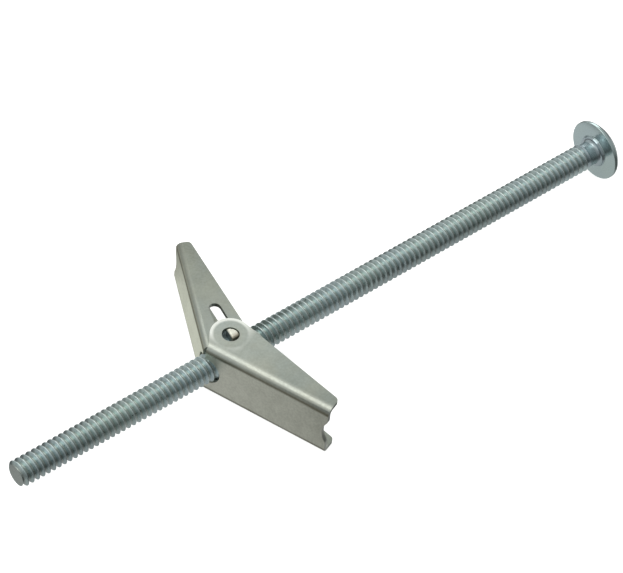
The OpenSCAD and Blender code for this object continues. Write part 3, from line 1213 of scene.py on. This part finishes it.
@dataclass
class TorsionSpring:
    """A wire wound round the hubs: two halves of the coil that meet beside the screw, and two legs."""

    sizes: ToggleSizes
    wire_r: float = 0.2
    coil_r: float = 3.34
    low: float = 2.99
    high: float = 3.52
    leg: float = 10.5
    leg_gap: float = 0.06
    leg_drop: float = 0.3
    leg_lap: float = 0.3
    wound_from: float = 2.79
    starts: float = 180.0
    ends: float = 900.0
    step: float = 6.0
    bridge_mid: float = 630.0
    bridge_half: float = 36.6

    def height(self, angle: float, first: float, last: float) -> float:
        """Height of the wire at an angle of its turns.

        Args:
            angle: The angle in degrees.
            first: Where the turns start.
            last: Where they end.

        Returns:
            The height in millimetres.
        """
        into, out = self.bridge_mid - self.bridge_half, self.bridge_mid + self.bridge_half
        if angle < into:
            return -self.high + (self.high - self.low) * (angle - first) / (into - first)
        if angle > out:
            return self.low + (self.high - self.low) * (angle - out) / (last - out)
        share = (angle - into) / (out - into)
        return self.low * (2 * share * share * (3 - 2 * share) - 1)

    def leg_end(self, sweep: float, side: Side, z: float) -> Vector:
        """Free end of a leg, along a wing's web.

        Args:
            sweep: The wing's angle at rest, in degrees.
            side: The wing's side.
            z: The leg's height.

        Returns:
            The place from the hinge axis.
        """
        s, a = self.sizes, math.radians(sweep)
        w = s.web_in - self.leg_gap - self.wire_r
        along = Vector((math.sin(a), side.value * math.cos(a), 0)) * self.leg
        return along + Vector((-math.cos(a), side.value * math.sin(a), 0)) * w + Vector((0, 0, z))

    def wire(self, points: Sequence[Vector]) -> Piece:
        """Sweeps a round wire along points from the hinge axis.

        Args:
            points: The wire's middle line.

        Returns:
            The mesh of the wire.
        """
        curve = bpy.data.curves.new("wire", "CURVE")
        curve.dimensions = "3D"
        curve.bevel_depth = self.wire_r
        curve.bevel_resolution = 4
        curve.use_fill_caps = True
        spline = curve.splines.new("POLY")
        spline.points.add(len(points) - 1)
        for knot, place in zip(spline.points, points):
            knot.co = (place.x + self.sizes.pivot_x, place.y, place.z, 1)
        pick(in_scene("wire", curve))
        bpy.ops.object.convert(target="MESH")
        return bpy.context.object

    def build(self, material: Material, inner_sweep: float, outer_sweep: float) -> None:
        """Models the coil's halves, which stay where they are, and the legs, which ride on the wings.

        Args:
            material: The wire's finish.
            inner_sweep: The inner wing's angle at rest, in degrees.
            outer_sweep: The outer wing's angle at rest, in degrees.
        """
        first, last = self.starts - inner_sweep, self.ends + outer_sweep
        count = math.ceil((last - first) / self.step)
        angles = [first + (last - first) * i / count for i in range(count + 1)]
        ring = arc((0, 0), self.coil_r, first, last, count + 1)
        turns = [Vector((*at, self.height(a, first, last))) for at, a in zip(ring, angles)]
        middle = min(range(count + 1), key=lambda i: abs(angles[i] - self.bridge_mid))
        lower, upper = turns[middle::-1], turns[middle:]
        for points, body, side, sweep, way in (
            (lower, "inner_wing", Side.INNER, inner_sweep, -1),
            (upper, "outer_wing", Side.OUTER, outer_sweep, 1),
        ):
            half = self.wire(points)
            hand_over(half, f"spring_to_{body}", material, "torsion_spring")
            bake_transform(half)
            inside = points[-1].lerp(points[-2], self.leg_lap)
            leg = self.wire([inside, self.leg_end(sweep, side, way * (self.high - self.leg_drop))])
            hand_over(leg, f"spring_leg_on_{body}", material, "torsion_spring")
            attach(leg, body)


@dataclass(frozen=True)
class Lamp:
    """A soft square lamp that faces the toggle."""

    name: str
    way: Place
    size: float
    level: float
    colour: Colour
    aim: Place = (-0.0813, 0.0, 0.0)
    distance: float = 0.8

    def hang(self) -> None:
        """Puts the lamp in the scene."""
        data = bpy.data.lights.new(self.name, "AREA")
        data.shape = "SQUARE"
        data.size = self.size
        data.energy = self.level * math.pi * self.size * self.size
        data.color = self.colour
        lamp = in_scene(self.name, data)
        towards = Vector(self.way).normalized() * self.distance
        lamp.location = Vector(self.aim) + towards
        lamp.rotation_euler = towards.to_track_quat("Z", "Y").to_euler()


@dataclass
class Studio:
    """The pale floor, the lamps and the camera.

    The camera and the floor are placed in millimetres, and the rest is in metres. A spot that the metal
    mirrors has its place on the floor, the radii between which it fades and its level. A panel of the
    tent has its direction, the cosines between which it fades in and its tone.
    """

    camera_at: Place = (-310.8, -255.75, 415.6)
    azimuth: float = -43.93
    elevation: float = 49.06
    roll: float = 6.91
    lens: float = 189.35
    floor_at: Place = (-60.0, 0.0, -5.5)
    floor_r: float = 0.6
    floor_seen: float = 0.8
    ground: Colour = (0.13, 0.13, 0.13)
    ground_seen: Colour = (0.8, 0.8, 0.8)
    glow: float = 0.36
    glow_fade: Span = (0.0045, 0.009)
    far_glow: float = 0.42
    far_fade: Span = (0.02, 0.045)
    spots: tuple[Spot, ...] = (
        ((-0.0213, 0.0, 0.0), 0.022, 0.034, 0.43),
        ((-0.0237, 0.0134, 0.0), 0.01, 0.018, 0.54),
        ((0.057, 0.004, 0.0), 0.009, 0.016, 0.54),
    )
    tent_top: Place = (-0.1, 0.45, 0.887)
    tent: tuple[tuple[float, Colour], ...] = (
        (0.28, (0.16, 0.17, 0.17)),
        (0.44, (0.29, 0.3, 0.3)),
        (0.58, (0.38, 0.39, 0.39)),
        (0.72, (0.43, 0.44, 0.44)),
        (0.88, (0.48, 0.49, 0.48)),
        (1.0, (0.7, 0.7, 0.68)),
    )
    panels: tuple[Spot, ...] = (
        ((-0.76, 0.0, 0.65), 0.8, 0.96, 0.85),
        ((-0.2, 0.98, 0.05), 0.8, 0.96, 0.7),
        ((0.45, 0.68, 0.58), 0.91, 0.98, 0.75),
    )
    panel_blue: float = 0.97
    lamps: tuple[Lamp, ...] = (
        Lamp("overhead", (-0.1, 0.3, 0.95), 0.54, 1.4, (1.0, 1.0, 0.96)),
        Lamp("behind", (0.62, 0.66, 0.42), 0.42, 1.1, (1.0, 1.0, 1.0)),
    )

    def camera(self) -> None:
        """Sets the camera at the photograph's place."""
        data = bpy.data.cameras.new("camera")
        data.lens = self.lens
        data.clip_start = 0.01
        camera = in_scene("camera", data)
        turn = (
            Matrix.Rotation(math.radians(self.azimuth), 4, "Z")
            @ Matrix.Rotation(math.radians(90 - self.elevation), 4, "X")
            @ Matrix.Rotation(math.radians(self.roll), 4, "Z")
        )
        camera.matrix_world = Matrix.Translation(Vector(self.camera_at) * MM) @ turn
        bpy.context.scene.camera = camera

    def floor(self) -> None:
        """Lays a round white floor that fades into the white behind it."""
        circle = bpy.ops.mesh.primitive_circle_add
        floor = primitive(circle, vertices=SIDES, radius=self.floor_r, fill_type="NGON")
        floor.location = Vector(self.floor_at) * MM
        floor.name = "floor"
        material = bpy.data.materials.new("white_ground")
        nodes = Nodes(material)
        rays = nodes.add("ShaderNodeLightPath").outputs
        seen = nodes.math("MAXIMUM", rays["Is Camera Ray"], rays["Is Transmission Ray"])
        across = nodes.axes(nodes.where)[1]
        beneath = nodes.spread(nodes.math("ABSOLUTE", across), *self.glow_fade, self.glow, 0.0)
        glow = nodes.math("MAXIMUM", beneath, nodes.spread(across, *self.far_fade, 0.0, self.far_glow))
        for place, near, far, level in self.spots:
            away = nodes.vector("DISTANCE", nodes.where, place)
            glow = nodes.math("MAXIMUM", glow, nodes.spread(away, near, far, level, 0.0))
        gloss = nodes.product(rays["Is Glossy Ray"], glow)
        level = nodes.math("MULTIPLY_ADD", seen, self.floor_seen, gloss)
        emit = nodes.add("ShaderNodeEmission", {"Color": (1, 1, 1, 1), "Strength": level})
        ground = nodes.ramp(seen, [(0.0, self.ground), (1.0, self.ground_seen)])
        plain = nodes.add("ShaderNodeBsdfDiffuse", {"Color": ground})
        total = nodes.add("ShaderNodeAddShader", {0: emit.outputs[0], 1: plain.outputs[0]})
        nodes.add("ShaderNodeOutputMaterial", {"Surface": total.outputs[0]})
        floor.data.materials.append(material)

    def world(self) -> None:
        """Makes the surroundings white to the camera, and to the metal a tent, brightest overhead."""
        world = bpy.data.worlds.new("studio")
        bpy.context.scene.world = world
        nodes = Nodes(world)
        seen = nodes.add("ShaderNodeLightPath").outputs["Is Camera Ray"]
        way = nodes.add("ShaderNodeTexCoord").outputs["Generated"]
        height = nodes.vector("DOT_PRODUCT", way, self.tent_top)
        lit = nodes.ramp(nodes.spread(height, -1.0, 1.0), self.tent)
        for panel_way, edge, middle, tone in self.panels:
            panel = nodes.spread(nodes.vector("DOT_PRODUCT", way, panel_way), edge, middle)
            lit = nodes.mix(panel, lit, (tone, tone, tone * self.panel_blue))
        white = nodes.add("ShaderNodeMix", {0: seen, 6: lit, 7: (1, 1, 1, 1)}, data_type="RGBA")
        back = nodes.add("ShaderNodeBackground", {"Color": white.outputs[2]})
        nodes.add("ShaderNodeOutputWorld", {"Surface": back.outputs[0]})

    def build(self) -> None:
        """Sets the whole stage."""
        bpy.context.scene.view_settings.view_transform = "Standard"
        self.camera()
        self.floor()
        self.world()
        for lamp in self.lamps:
            lamp.hang()
        LOG.info("stage set")


def main() -> None:
    """Builds the stage and every piece in order."""
    logging.basicConfig(level=logging.INFO, format="%(name)s: %(message)s")
    Studio().build()
    sizes = ToggleSizes()
    screw_zinc = ThreadFinish(
        "bright_zinc_thread", clean=(0.5, 0.61, 0.63), cloudy=(0.52, 0.63, 0.61), patch_scale=90.0
    )
    outer_zinc = SheetFinish(
        "satin_zinc_outer", clean=(0.43, 0.48, 0.45), cloudy=(0.47, 0.5, 0.44),
        turn=-math.radians(90 - OUTER_SWEEP), out=-1.0,
    )
    # The same plating as the outer wing's, set darker on the flanges, with a web brightened by painted
    # light.
    inner_zinc = SheetFinish(
        "satin_zinc_inner", clean=(0.352, 0.39, 0.364), cloudy=(0.4, 0.428, 0.372),
        turn=math.radians(90 - INNER_SWEEP), web=(0.86, 0.9, 0.73), darkening_along=(-0.1, 0.46), web_darkening=0.3,
        fold_highlight_share=0.12, fold=(3.7, 4.1), crease_line_at=3.85, ear=(0.5, 0.52, 0.46),
    )
    nut_zinc = NutFinish(
        "satin_zinc_nut", clean=(0.42, 0.52, 0.54), cloudy=(0.36, 0.44, 0.45),
        metallic=0.8, roughness=(0.3, 0.45), patch_scale=200.0,
    )
    wire_steel = ZincFinish(
        "spring_steel", clean=(0.3, 0.31, 0.33), cloudy=(0.24, 0.25, 0.27),
        metallic=1.0, patch_scale=300.0, grain_scale=3000.0, grain_depth=0.01,
    )
    # The cut edges' bare metal, partly a painted highlight.
    cut_edge_and_highlight = ZincFinish(
        "cut_edge_and_painted_highlight", clean=(0.86, 0.88, 0.82), cloudy=(0.7, 0.71, 0.62),
        metallic=0.75, roughness=(0.4, 0.5), patch_scale=900.0,
    ).material()
    MachineScrew().build(screw_zinc.material())
    outer = ChannelWing(sizes, Side.OUTER, half=5.5, sweep=OUTER_SWEEP, lip=1.35, past=0.3)
    outer.build(outer_zinc.material(), cut_edge_and_highlight, "outer_channel_wing", "outer_wing")
    inner = ChannelWing(
        sizes, Side.INNER, half=4.6, sweep=INNER_SWEEP, lip=2.2, past=-0.6, fold_r=1.05,
        keyhole=(6.7, 2.1, 10.5),
    )
    inner.build(inner_zinc.material(), cut_edge_and_highlight, "inner_channel_wing", "inner_wing")
    TrunnionNut(sizes).build(nut_zinc.material())
    TorsionSpring(sizes).build(wire_steel.material(), INNER_SWEEP, OUTER_SWEEP)
    bpy.context.view_layer.update()


if __name__ == "__main__":
    main()
